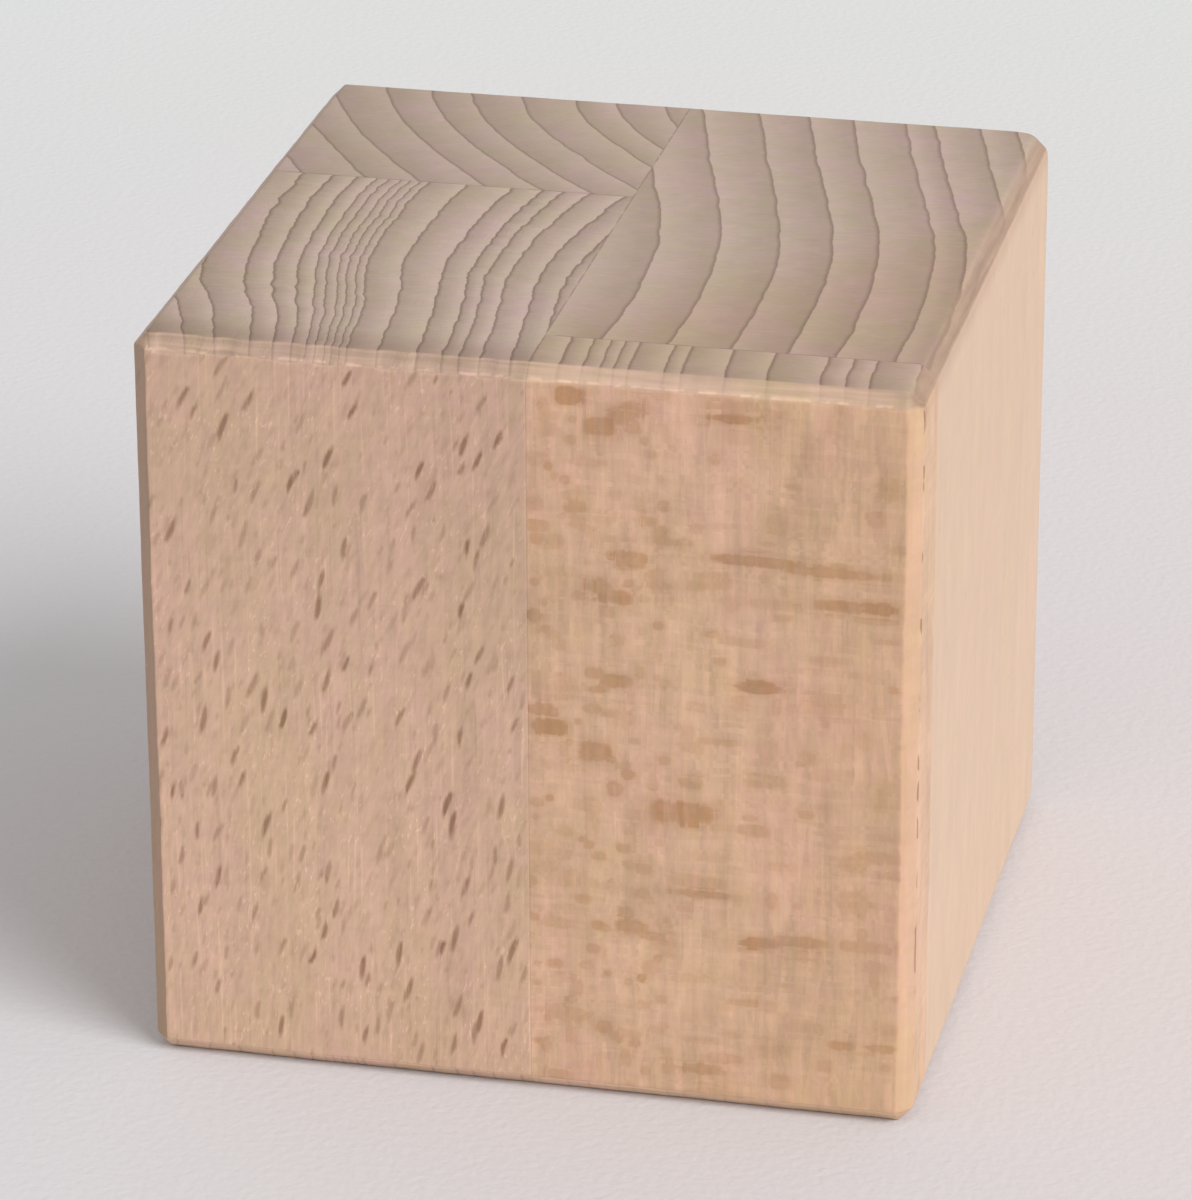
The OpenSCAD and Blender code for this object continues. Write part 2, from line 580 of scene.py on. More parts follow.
# Flecks where the front right stave's rays come to the front, in percent of the side:
# across and up, width and height, strength, and slant in degrees
FLECKS = (
    (56.2, 96.6, 3.0, 2.0, 1.0, 0), (59.8, 92.9, 3.6, 2.2, 1.0, 4), (63.2, 94.9, 4.4, 2.3, 0.8, 24),
    (76.5, 96.4, 7.0, 2.2, 0.55, 0), (76.3, 95.3, 5.4, 1.2, 1.0, 0), (51.8, 88.0, 2.8, 1.6, 0.4, 0),
    (56.8, 82.0, 2.6, 1.6, 0.7, 0), (52.0, 79.0, 2.8, 1.4, 0.6, 0), (54.0, 77.0, 2.2, 2.0, 0.5, 0),
    (63.6, 75.4, 3.8, 2.2, 0.8, 0), (69.0, 78.2, 5.0, 1.1, 0.6, 0), (79.5, 76.6, 11.0, 1.2, 0.85, 0),
    (89.0, 75.9, 12.0, 1.2, 0.7, 0), (82.5, 71.0, 14.0, 1.3, 0.3, 0), (92.8, 71.5, 9.0, 1.5, 0.75, 0),
    (95.0, 71.6, 4.6, 1.5, 1.0, 0), (59.8, 71.4, 3.4, 2.0, 0.9, 0), (61.6, 70.3, 3.8, 2.0, 1.0, -8),
    (67.3, 72.3, 3.6, 1.0, 0.5, 0), (72.3, 72.6, 2.5, 1.0, 0.5, 0), (51.4, 66.8, 2.0, 1.5, 0.8, 0),
    (52.5, 65.0, 1.5, 1.2, 0.6, 0), (74.0, 66.3, 2.2, 1.0, 0.5, 0), (65.4, 65.9, 1.5, 1.0, 0.4, 0),
    (79.8, 59.7, 5.6, 1.7, 0.9, 0), (62.0, 58.8, 3.6, 1.5, 0.85, 0), (59.3, 57.4, 2.0, 1.0, 0.6, 0),
    (53.7, 56.7, 2.5, 1.2, 0.3, 0), (96.9, 60.9, 1.6, 1.0, 0.6, 0), (52.0, 54.0, 3.3, 1.5, 0.8, 4),
    (53.0, 51.6, 4.2, 1.9, 1.0, 0), (59.1, 48.8, 3.4, 2.7, 1.0, 0), (61.0, 48.0, 1.6, 1.2, 0.7, 0),
    (71.4, 50.6, 3.0, 1.5, 0.3, 0), (71.4, 45.6, 2.8, 1.5, 0.55, 0), (61.8, 43.9, 2.0, 1.9, 0.7, 0),
    (56.8, 46.4, 3.0, 1.5, 0.3, 0), (70.6, 41.4, 7.4, 3.0, 1.0, 0), (74.4, 40.8, 3.4, 1.8, 0.5, 0),
    (72.6, 31.6, 6.5, 2.6, 0.45, 0), (73.4, 30.3, 7.4, 1.0, 0.75, 0), (51.3, 34.8, 2.5, 1.5, 0.3, 0),
    (63.8, 24.9, 3.4, 2.0, 0.8, -8), (66.2, 23.7, 3.4, 1.2, 0.7, -8), (80.2, 24.1, 4.6, 1.5, 0.9, 4),
    (85.4, 24.9, 6.0, 1.5, 0.7, 0), (94.0, 25.1, 7.0, 1.6, 0.5, 0), (86.0, 13.0, 5.0, 1.5, 0.3, 0),
    (60.2, 10.2, 2.0, 1.8, 0.8, 0), (91.0, 10.8, 3.2, 1.3, 0.7, 0), (95.9, 10.9, 4.0, 1.0, 0.6, 0),
    (52.5, 6.8, 1.5, 2.0, 0.6, 0), (73.0, 5.5, 5.0, 1.5, 0.8, 0), (53.9, 2.7, 3.3, 1.5, 0.6, 0),
)

# Spindles of the front left stave, in percent of the side: across and up
SPINDLES = (
    (27.9, 96.5), (15.2, 92.5), (28.7, 92.5), (44.9, 94.5), (11.7, 88.7), (6.8, 92.5), (42.6, 88.8),
    (47.0, 90.0), (25.1, 85.5), (20.4, 82.0), (22.8, 79.5), (38.5, 82.5), (44.4, 87.0), (36.9, 85.0),
    (4.7, 74.3), (27.0, 73.5), (42.9, 75.2), (44.0, 73.5), (45.3, 77.0), (36.5, 69.0), (6.6, 66.5),
    (24.0, 69.0), (23.6, 65.5), (30.5, 66.8), (42.0, 66.5), (8.8, 59.2), (4.1, 60.8), (24.9, 61.0),
    (44.4, 60.8), (48.3, 57.0), (27.0, 57.8), (10.0, 56.5), (24.5, 55.3), (42.9, 57.0), (14.8, 53.8),
    (16.2, 51.8), (48.8, 51.5), (33.8, 51.0), (18.7, 49.5), (22.6, 48.5), (41.6, 49.0), (8.2, 48.5),
    (3.0, 45.5), (36.0, 45.2), (25.2, 44.0), (12.0, 43.5), (24.0, 41.0), (35.0, 42.0), (39.8, 39.5),
    (13.0, 40.5), (3.7, 37.8), (40.5, 36.8), (47.0, 40.0), (9.3, 39.0), (15.9, 34.0), (46.1, 33.0),
    (6.8, 32.5), (48.0, 31.2), (24.0, 28.3), (42.2, 28.2), (15.4, 27.0), (9.4, 26.2), (25.0, 23.3),
    (23.5, 20.0), (7.0, 21.8), (40.6, 20.5), (38.9, 19.0), (48.1, 19.5), (46.5, 17.0), (33.2, 17.5),
    (22.0, 16.3), (6.0, 14.0), (28.3, 15.0), (34.5, 12.7), (41.0, 11.0), (8.9, 10.3), (25.4, 7.5),
    (43.8, 9.0), (28.5, 5.3), (40.4, 5.5), (46.8, 5.5), (17.3, 5.5),
)


SPINDLE_SEED = 11
FLECK_SEED = 5

# What a seed gives each kind of mark, in percent of the side: the least and the spread of
# its width, of its height and of its strength, and the power that makes strong ones rare
LISTED_SPINDLES = ((0.7, 0.3), (2.8, 2.2), (0.7, 0.3), 1)
FAINT_SPINDLES = ((0.55, 0.35), (1.6, 2.8), (0.1, 0.55), 1.9)
FINE_SPINDLES = ((0.42, 0.25), (0.8, 1.5), (0.06, 0.32), 2)
FINE_FLECKS = ((0.8, 1.5), (0.8, 0.8), (0.1, 0.6), 2)
# The faint flecks draw their width, height and strength one by one, with this power for each
FAINT_FLECKS = ((1.2, 5.0), (0.8, 2.6), (0.08, 0.4), 2)

# Grids over which marks are strewn, in percent: pitch across and up, and from where to where
FAINT_SPINDLE_GRID = (3.1, 4.3, 1.0, 50.0)
FINE_SPINDLE_GRID = (1.9, 2.5, 1.0, 50.0)
FAINT_FLECK_GRID = (4.2, 3.1, 50.0, 99.0)
FINE_FLECK_GRID = (2.7, 2.9, 50.0, 67.0)

SPINDLE_LEAN = 8.0  # how far spindles lean at the base, in degrees
SPINDLE_LEAN_GAIN = 0.17  # how many degrees more for each percent up
SPINDLE_LEAN_SPREAD = 6.0  # the spread of their leans, in degrees
SPINDLE_BOW = 0.14  # the spread of how far their tips bow from their middles, in millimetres
SPINDLE_WAIST = 0.7  # how slowly a spindle narrows from its middle to its tips
SPINDLE_UNEVEN = (0.4, 1.4)  # how much thinner or thicker one tip of a bowed one may be
SPINDLE_SIDES = 1.3  # how sharply it darkens from its sides inwards
SPINDLE_TIPS = 1.5  # how sharply it darkens from its tips inwards
NO_WIDTH = 1e-6  # stands for a width of nothing, in millimetres
FLECK_SWELL = PERCENT * 1.3  # the flecks are listed by their cores, and are wider than these
FLECK_SQUARENESS = 3  # of a fleck's outline, where 2 would be an ellipse


def scattered(random, pitch_across, pitch_up, low, high):
    """Places strewn over a front, one in each cell of a grid, in percent of the side."""
    places = []
    for left in np.arange(low, high, pitch_across):
        for foot in np.arange(0.0, 100.0, pitch_up):
            places.append((left + random.random() * pitch_across, foot + random.random() * pitch_up))
    return places


def sized(random, places, kind):
    """Marks of one kind at these places: place across and up, width, height and strength."""
    width, height, strength, rarity = kind
    marks = []
    for across, up in places:
        size = random.random()
        depth = strength[0] + strength[1] * random.random() ** rarity
        marks.append((across, up, width[0] + width[1] * size, height[0] + height[1] * size, depth))
    return marks


def spindle_marks():
    """Where the rays of the front left stave end, each with a lean in degrees and a bow in mm."""
    random = np.random.default_rng(SPINDLE_SEED)
    marks = sized(random, SPINDLES, LISTED_SPINDLES)
    marks += sized(random, scattered(random, *FAINT_SPINDLE_GRID), FAINT_SPINDLES)
    marks += sized(random, scattered(random, *FINE_SPINDLE_GRID), FINE_SPINDLES)
    leaning = []
    for mark in marks:
        lean = SPINDLE_LEAN + SPINDLE_LEAN_GAIN * mark[1] + random.normal() * SPINDLE_LEAN_SPREAD
        leaning.append(mark + (lean, random.normal() * SPINDLE_BOW))
    return leaning


def fleck_marks():
    """Faint flecks strewn between the listed ones, and fine ones beside the joint."""
    random = np.random.default_rng(FLECK_SEED)
    marks = []
    widths, heights, strengths, rarity = FAINT_FLECKS
    for across, up in scattered(random, *FAINT_FLECK_GRID):
        width = widths[0] + widths[1] * random.random() ** rarity
        strength = strengths[0] + strengths[1] * random.random() ** rarity
        height = heights[0] + heights[1] * random.random() ** rarity
        marks.append((across, up, width, height, strength, 0.0))
    for mark in sized(random, scattered(random, *FINE_FLECK_GRID), FINE_FLECKS):
        marks.append(mark + (0.0,))
    return marks


def spots(points, mark):
    """Places on the front measured from a mark's middle, along its width and its height, in mm."""
    across = points[:, 0] / MM - (mark[0] - 50.0) * PERCENT
    up = points[:, 2] / MM - mark[1] * PERCENT
    return across, up


def painted_spindles(points):
    """How dark the spindles are at each point: dark in the middle and drawn out to two tips."""
    dark = np.zeros(len(points))
    for mark in spindle_marks():
        across, up = spots(points, mark)
        lean = math.radians(mark[5])
        along = up * math.cos(lean) + across * math.sin(lean)
        reach = along / (mark[3] * PERCENT / 2)
        aside = across * math.cos(lean) - up * math.sin(lean) + mark[6] * reach ** 2
        taper = np.clip(1 - reach ** 2, 0, 1) * np.clip(1 - 2 * mark[6] * reach, *SPINDLE_UNEVEN)
        half_width = mark[2] * PERCENT / 2 * taper ** SPINDLE_WAIST + NO_WIDTH
        fill = np.clip((1 - (aside / half_width) ** 2) * SPINDLE_SIDES, 0, 1)
        dark = np.maximum(dark, mark[4] * fill * np.clip(taper * SPINDLE_TIPS, 0, 1))
    return {"mark": dark}


def painted_flecks(points):
    """How far inside a fleck each point is, 1 in its middle and 0 at its rim, and its strength."""
    inside = np.full(len(points), -1.0)
    strength = np.zeros(len(points))
    heaviest = np.zeros(len(points))
    for mark in FLECKS + tuple(fleck_marks()):
        across, up = spots(points, mark)
        lean = math.radians(mark[5])
        along = (across * math.cos(lean) + up * math.sin(lean)) / (mark[2] * FLECK_SWELL / 2)
        aside = (up * math.cos(lean) - across * math.sin(lean)) / (mark[3] * FLECK_SWELL / 2)
        far = np.abs(along) ** FLECK_SQUARENESS + np.abs(aside) ** FLECK_SQUARENESS
        depth = 1 - far ** (1 / FLECK_SQUARENESS)
        weight = mark[4] * np.clip(1 + depth, 0, 2)
        heavier = weight > heaviest
        heaviest[heavier] = weight[heavier]
        inside[heavier] = depth[heavier]
        strength[heavier] = mark[4]
    return {"mark": inside, "strength": strength}


def paint_front(mesh, painter):
    """Keeps the marks on a stave's front as values of its mesh's points."""
    points = np.zeros(len(mesh.vertices) * 3)
    mesh.vertices.foreach_get("co", points)
    points = points.reshape(-1, 3)
    front = points[:, 1] < SKIN_DEPTH - HALF
    for name, values in painter(points[front]).items():
        everywhere = np.full(len(points), values.min())
        everywhere[front] = values
        mesh.attributes.new(name, "FLOAT", "POINT").data.foreach_set("value", everywhere)


# ---------------------------------------------------------------- the four staves
# pitch is the mesh's spacing along x, y and z. outward is the way along x in which the
# rings were laid down, start the place of the first ring line, and rings the widths
# from there on. bends says how far the lines bend along x: for one or more stations in
# x, places in y and the bend there. run is the direction of the lines, and pith the
# point from which the rays come. jaggedness says how much the lines stray, contrast how
# strongly they show on the end grain, and slant_contrast how strongly on a level chamfer.
# seams are the places in x and y of the joints. slant, slant_side and corner are what
# cutting a level chamfer along x, one along y, or an upright one does to the colour; on the
# front left stave corner also darkens its upright chamfer as painted shade, since that chamfer
# faces away from the lamp. rim_wear_and_highlight is how pale the lower rim of a top chamfer
# along x is, from wear and a painted highlight. dapple, crossing, speck, patchy, hairy and
# streaky are the strengths of the fine marks and soft patches of the long grain, and mottle
# that of its changes of hue.
# Grades are soft changes of colour: a direction, where along it the change starts and
# ends, and the colour that the wood is multiplied by from there on. Grades along z that
# make a side darker towards its top or lighter towards its foot are painted bounce light
# from the floor.

STAVES = {
    "stave_front_left": {
        "pitch": (0.18, 1.0, 0.5),
        "dapple": 0.2, "crossing": 0.06, "speck": 0.18, "patchy": 0.06, "hairy": 0.14, "streaky": 0.12,
        "outward": -1, "start": -3.2,
        "rings": (2.4, 3.3, 3.6, 2.5, 2.0, 3.2, 4.8, 3.9, 0.9, 1.1, 1.0, 1.3, 1.2, 2.0, 2.6, 3.1,
                  4.9, 4.2, 5.0),
        "bends": (
            (-32.0, ((-40, 9.6), (-31.2, 6.4), (-20, 2.1), (-9.6, 0.6), (0, 0), (9.6, 0.5))),
            (-17.6, ((-40, 4.3), (-31.2, 3.5), (-20, 1.4), (-15.2, 0.3), (-9.6, 0), (0, 0), (9.6, 1.0))),
            (-3.2, ((-40, 1.6), (-31.2, 0.6), (-20, -1.0), (-15.2, -1.5), (-9.6, -1.2), (0, 0), (9.6, 1.9))),
        ),
        "run": (0.1, 1.0), "pith": (48.0, -9.6), "jaggedness": 1.0, "contrast": 1.0,
        "slant_contrast": 0.9,
        "seams": (0.4, 9.6),
        "slant": (0.83, 0.855, 0.87), "slant_side": (0.84, 0.86, 0.875),
        # on this stave the corner tint is painted shade: its upright chamfer faces away from the lamp
        "corner": (0.67, 0.66, 0.62), "rim_wear_and_highlight": 0.34, "mottle": 0.65,
        "side_grades": (
            # the first grade, darker towards the top, is painted bounce light from the floor at the foot
            ((0, 0, 1), 20, 90, (0.9, 0.9, 0.925)), ((1, 0, 0), -20, -6, (0.97, 0.965, 0.965)),
        ),
        "end_grades": (
            ((0, -1, 0), 32, 38.5, (0.76, 0.715, 0.67)), ((-1, 0, 0), 26, 38, (0.93, 0.92, 0.915)),
        ),
    },
    "stave_back_left": {
        "pitch": (0.5, 0.5, 0.7),
        "dapple": 0.05, "crossing": 0.03, "speck": 0.03, "patchy": 0.05, "hairy": 0.03, "streaky": 0.08,
        "outward": -1, "start": -12.3,
        "rings": (5.5, 5.8, 4.9, 6.5, 6.1, 4.8, 5.4, 6.4, 5.0, 6.2, 5.0),
        "bends": (
            (-28.0, ((9.6, 9.5), (16, 5.4), (24, 0), (29.6, -3.5), (33.6, -5.5), (40, -8.0))),
            (-4.0, ((9.6, 12.6), (19.4, 3.7), (24, 0), (26.9, -2.4), (34, -7.2), (40, -9.4))),
        ),
        "run": (-0.6, 0.8), "pith": (48.0, 72.0), "jaggedness": 0.45, "contrast": 0.75,
        "slant_contrast": 0.6,
        "seams": (0.4, 9.6),
        "slant": (0.84, 0.86, 0.875), "slant_side": (0.84, 0.86, 0.875),
        "corner": (0.95, 0.95, 0.95), "rim_wear_and_highlight": 0.05, "mottle": 0.5,
        # darker towards the top: painted bounce light from the floor at the foot
        "side_grades": (((0, 0, 1), 20, 90, (0.94, 0.94, 0.95)),),
        "end_grades": (((-1, 0, 0), 0, 38, (0.92, 0.92, 0.93)), ((0, 0, 1), 0, 40, (0.94, 0.93, 0.92))),
    },
    "stave_front_right": {
        "pitch": (0.2, 0.6, 0.4),
        "dapple": 0.2, "crossing": 0.12, "speck": 0.05, "patchy": 0.2, "hairy": 0.05, "streaky": 0.15,
        "outward": -1, "start": -42.5,
        "rings": (3.8, 4.5, 2.3, 2.5, 5.4, 4.2, 4.3, 1.6, 3.7, 1.4, 1.4, 1.8, 2.3, 3.0, 3.0),
        "bends": (
            (20.0, ((-40, 0.22), (-31.2, -0.22))),
        ),
        "run": (0.0, 1.0), "pith": (200.0, -48.0), "jaggedness": 0.55, "contrast": 0.9,
        "slant_contrast": 0.3,
        "seams": (0.4, -31.2),
        "slant": (0.835, 0.9, 0.95), "slant_side": (0.7, 0.7, 0.71),
        "corner": (1.0, 1.0, 0.99), "rim_wear_and_highlight": 0.27, "mottle": 0.7,
        "side_grades": (
            # the second grade, darker towards the top, is painted bounce light from the floor at the foot
            ((1, 0, 0), 14, 38, (0.955, 0.945, 0.9)), ((0, 0, 1), 30, 80, (0.99, 0.99, 0.99)),
            ((1, 0, 1), 115.5, 119, (0.85, 0.82, 0.82)), ((1, 0, 0), 38.6, 39.6, (1.03, 1.065, 1.1)),
        ),
        "end_grades": (((1, -1, 0), 14, 44, (0.97, 0.92, 0.84)), ((0, -1, 0), 35, 38.5, (0.93, 0.925, 0.92))),
    },
    "stave_back_right": {
        "pitch": (0.5, 0.5, 0.7),
        "dapple": 0.03, "crossing": 0.03, "speck": 0.02, "patchy": 0.07, "hairy": 0.01, "streaky": 0.065,
        "outward": 1, "start": -5.5,
        "rings": (5.7, 6.6, 6.5, 6.3, 5.5, 4.8, 5.8, 3.2, 5.1, 4.0, 4.0),
        "bends": (
            (6.4, ((-31.2, -0.6), (-19.2, 0), (-9.6, -0.4), (0, -1.5), (11.2, -4.2), (24.4, -7.8),
                   (40, -11.8))),
            (36.0, ((-31.2, 0), (-19.2, 0), (-9.6, -0.4), (0, -1.5), (11.2, -4.2), (24.4, -7.8),
                    (40, -11.8))),
        ),
        "run": (-0.2, 1.0), "pith": (-116.0, -20.0), "jaggedness": 0.4, "contrast": 0.8,
        "slant_contrast": 0.7,
        "seams": (0.4, -31.2),
        "slant": (0.66, 0.63, 0.61), "slant_side": (0.66, 0.63, 0.61),
        "corner": (0.95, 0.95, 0.95), "rim_wear_and_highlight": 0.0, "mottle": 0.3,
        "side_grades": (
            # the first grade, lighter towards the foot, is painted bounce light from the floor
            ((0, 0, 1), 70, 6, (1.03, 1.045, 1.06)), ((1, 0, 1), 115.5, 119, (0.82, 0.775, 0.77)),
        ),
        "end_grades": (((1, -1, 0), 14, 44, (0.95, 0.895, 0.81)), ((0, 0, 1), 0, 40, (0.97, 0.96, 0.965))),
    },
}

PAINTERS = {"stave_front_left": painted_spindles, "stave_front_right": painted_flecks}
BARK_MARGIN = 30.0  # how far past the first and last listed lines the ring count is carried on
RING_LEAN = 0.008  # how far ring lines shift for each millimetre down
PITH_MARGIN = 20.0  # about how far a stave's middle lies from x = 0
FIBRE_LEAN = 0.176  # how far the front left stave's rays lean for each millimetre up
FIBRE_CURVE = 0.00143  # how much more they lean with the square of it
SKIN_START = -37.0  # where the painted marks take over from the scattered rays, along y
SKIN_FULL = -38.6
DASHED_ARRIS = -38.45  # where the dashed arris runs, along y
BROAD_RAYS = {"Half_Width": 0.4, "Half_Length": 16.0, "Half_Height": 1.9, "Spacing": 4.6}
SMALL_RAYS = {"Half_Width": 0.2, "Half_Length": 2.6, "Half_Height": 0.8, "Spacing": 3.3}

# What the colour is multiplied by at a rubbed tip, in a dark dash, and from one end to the
# other of the two changes of hue
TIP_TINT = (0.9, 0.87, 0.84)
DASH_TINT = (0.62, 0.52, 0.44)
WARM_TINTS = ((0.975, 1.003, 0.935), (1.025, 0.997, 1.055))
OLIVE_TINTS = ((1.02, 0.99, 1.03), (0.985, 1.01, 0.945))


def ring_bend(wires, stave, x, y):
    """How far the rings bend along x, blended between the stave's stations."""
    stations_in_x = stave["bends"]
    bend = wires.curve(y, stations_in_x[0][1], straight=False)
    for (left, earlier), (right, later) in zip(stations_in_x[:-1], stations_in_x[1:]):
        reach = (x - left) / (right - left)
        if left != stations_in_x[0][0]:
            reach = reach.most(0.0)
        if right != stations_in_x[-1][0]:
            reach = reach.least(1.0)
        change = wires.curve(y, later, straight=False) - wires.curve(y, earlier, straight=False)
        bend = bend + reach * change
    return bend


def ring_count(wires, stave, place):
    """The number of rings before a place, and the width of the ring there."""
    widths = stave["rings"]
    lines = [(stave["start"] - BARK_MARGIN, -BARK_MARGIN / widths[0]), (stave["start"], 0.0)]
    for number, width in enumerate(widths):
        lines.append((lines[-1][0] + width, number + 1.0))
    lines.append((lines[-1][0] + BARK_MARGIN, len(widths) + BARK_MARGIN / widths[-1]))
    count = wires.curve(place, lines, straight=True)
    middles = [(number + 0.5, width) for number, width in enumerate(widths)]
    ring = wires.math("FLOOR", count) + 0.5
    return count, wires.curve(ring.most(0.5).least(len(widths) - 0.5), middles, straight=True)


def graded(wires, colour, position, grades):
    """A colour with a stave's soft changes over its length or breadth."""
    for direction, start, finish, tint in grades:
        reach = wires.node("ShaderNodeVectorMath", operation="DOT_PRODUCT")
        wires.put(reach.inputs[0], position)
        reach.inputs[1].default_value = direction
        change = Field(wires, reach.outputs["Value"]).ramp(start, finish)
        colour = wires.blend(change, colour, solid(tint), "MULTIPLY")
    return colour


def solid(colour):
    """A colour with full alpha, as a node's socket takes it."""
    return tuple(colour) + (1.0,)


def front_marks(wires, node, cells):
    """How marked the front of a stave is, from the values painted on its mesh."""
    painted = wires.node("ShaderNodeAttribute", attribute_name="mark")
    mark = Field(wires, painted.outputs["Fac"])
    if node == "stave_front_left":
        return mark
    # A fleck is dark inside and has a paler rim, and both are ragged where fibres cross them
    depth = wires.node("ShaderNodeAttribute", attribute_name="strength")
    ragged = mark + cells["Column"] * 0.34 + cells["Row"] * 0.2
    core = ragged.ramp(-0.15, 0.35).most(ragged.ramp(-1.0, 0.2) * 0.38)
    return core * Field(wires, depth.outputs["Fac"])


def end_wood(wires, looks, stave, wood):
    """The colour of wood cut square across its fibres."""
    rings = wood["rings"]
    grain = wood["grain"]
    contrast = wood["edges"]["Slant"].ramp(0.0, 1.0, stave["contrast"], stave["slant_contrast"])
    colour = wires.blend(rings["Late"] * contrast, solid(looks.end_early), solid(looks.end_late))
    colour = wires.blend(rings["Line"] * contrast, colour, solid(looks.end_line))
    shade = 1.0 + rings["Early"] * contrast * 0.06 + rings["Tint"] * contrast * 0.05 + grain["Dash"] * 0.09
    shade = shade + grain["Fleck"] * 0.08 + wood["clouds"]["Pale"] * 0.08
    return graded(wires, wires.tinted(colour, shade), wood["position"], stave["end_grades"])


def add_bump(wires, shader, height, distance):
    """Gives a shader the fine relief of a height."""
    bump = wires.node("ShaderNodeBump")
    bump.inputs["Distance"].default_value = distance
    wires.put(bump.inputs["Height"], height)
    wires.put(shader.inputs["Normal"], Field(wires, bump.outputs[0]))


def ring_fields(wires, stave, position):
    """The growth rings of a stave, at a place in it."""
    x, y, z = wires.split(position)
    along = x * stave["run"][0] + y * stave["run"][1]
    outward = (x - ring_bend(wires, stave, x, y)) * float(stave["outward"])
    place = outward + (SIDE / MM - z) * RING_LEAN
    wander = wires.placed("Ring Wander", Along=along, Place=place, Height=z, Jaggedness=stave["jaggedness"])
    count, width = ring_count(wires, stave, place + wander["Stray"])
    return wires.placed("Growth Rings", Count=count, Width=width)


def wood_fields(wires, node, looks):
    """All that varies through the wood of a stave, by name.

    figure is how marked a place is by rays, and fineness how strongly fine marks show there.
    """
    stave = STAVES[node]
    surface = wires.node("ShaderNodeTexCoord")
    position = wires.tinted(Field(wires, surface.outputs["Object"]), 1 / MM)
    x, y, z = wires.split(position)
    facing = Field(wires, surface.outputs["Normal"])
    drop = (SIDE - z * MM) / looks.chamfer
    from_pith_x = x - stave["pith"][0]
    from_pith_y = y - stave["pith"][1]
    radius = wires.math("SQRT", from_pith_x * from_pith_x + from_pith_y * from_pith_y)
    around = from_pith_y / from_pith_x * (abs(stave["pith"][0]) + PITH_MARGIN)
    cells = wires.placed("Cells", Position=position)
    seam_x, seam_y = stave["seams"]
    wood = {
        "position": position,
        "edges": wires.placed("Planed Edges", Position=position, Normal=facing, Drop=drop),
        "rings": ring_fields(wires, stave, position),
        "grain": wires.placed("End Grain", Around=around, Radius=radius),
        "fibre": wires.placed("Fibre", Position=position),
        "cells": cells,
        "glue": wires.placed("Glue Line", Position=position, Seam_X=seam_x, Seam_Y=seam_y)["Glue"],
    }
    # Across the rays, the crossing fibres break the marks up by the shifts of their cells
    if node == "stave_front_left":
        rays_at = wires.join(x - z * FIBRE_LEAN - z * z * FIBRE_CURVE, y, z)
        dapple_at = rays_at
        clouds_at = position
    else:
        rays_at = wires.join(around + cells["Row"] * 0.9, radius, z + cells["Column"] * 0.9)
        dapple_at = wires.join(x * 0.85 + cells["Row"] * 0.5, y, z * 0.5 + cells["Column"] * 1.1)
        clouds_at = wires.join(x + cells["Row"], y, z + cells["Column"] * 1.5)
    wood["dapple"] = wires.placed("Dapple", Position=dapple_at)
    wood["clouds"] = wires.placed("Clouds", Position=clouds_at)
    broad = wires.placed("Rays", Position=rays_at, **BROAD_RAYS)["Ray"]
    wood["small_rays"] = wires.placed("Rays", Position=rays_at, **SMALL_RAYS)["Ray"]
    figure = broad.most(wood["small_rays"] * 0.45)
    wood["fineness"] = 1.0
    if node in PAINTERS:
        skin = y.ramp(SKIN_START, SKIN_FULL)
        figure = (figure * (1.0 - skin * 0.75)).most(front_marks(wires, node, cells))
        wood["fineness"] = skin * 0.65 + 0.35
    wood["figure"] = figure * (0.95 + cells["Column Tone"] * 0.5)
    return wood


def long_wood(wires, node, looks, wood):
    """The colour of wood cut along its fibres, before it is planed."""
    stave = STAVES[node]
    rings = wood["rings"]
    fibre = wood["fibre"]
    cells = wood["cells"]
    dapple = wood["dapple"]
    edges = wood["edges"]
    side = getattr(looks, node.replace("stave", "side"))
    tint = getattr(looks, "spindle_tint" if node == "stave_front_left" else "ray_tint")
    marked = solid(of_side * of_tint for of_side, of_tint in zip(side, tint))
    colour = wires.blend(wood["figure"], solid(side), marked)
    shade = 1.0 - rings["Late"] * 0.015 - rings["Line"] * fibre["Streak"].ramp(-0.2, 0.3) * 0.04
    level = edges["Slant"] * (1.0 - edges["Side"])
    flat = 1.0 - edges["Corner"] * 0.65 - level * 0.75
    shade = shade + rings["Tint"] * 0.02 + fibre["Streak"] * (1.0 - level * 0.75) * stave["streaky"]
    fine = fibre["Hair"] * stave["hairy"] + dapple["Speck"] * stave["speck"]
    fine = fine + dapple["Dapple"] * stave["dapple"]
    shade = shade + fine * wood["fineness"] * flat + wood["clouds"]["Pale"] * stave["patchy"] * flat
    shade = shade + (cells["Column Tone"] + cells["Row Tone"] * 0.55) * flat * stave["crossing"]
    shade = shade - rings["Line"] * level * stave["slant_contrast"] * 0.2
    return graded(wires, wires.tinted(colour, shade), wood["position"], stave["side_grades"])


def planed_wood(wires, stave, edges, colour):
    """The colour of the long grain where chamfers, tips and rims cut it, with painted bounce light below."""
    slant = wires.blend(edges["Side"], solid(stave["slant"]), solid(stave["slant_side"]))
    colour = wires.blend(edges["Slant"], colour, slant, "MULTIPLY")
    # upright chamfers take the stave's corner tint, which on the front left stave is painted shade
    colour = wires.blend(edges["Corner"], colour, solid(stave["corner"]), "MULTIPLY")
    colour = wires.blend(edges["Tip"], colour, solid(TIP_TINT), "MULTIPLY")
    # the lower rim of a top chamfer is made paler, partly from wear and partly as a painted highlight
    rim = edges["Rim"] * (1.0 - edges["Side"]) * stave["rim_wear_and_highlight"]
    # chamfers that look down are made lighter here: painted bounce light from the floor
    return wires.tinted(colour, 1.0 + edges["Under"] * 0.65 + edges["Chatter"] * 0.8 + rim)


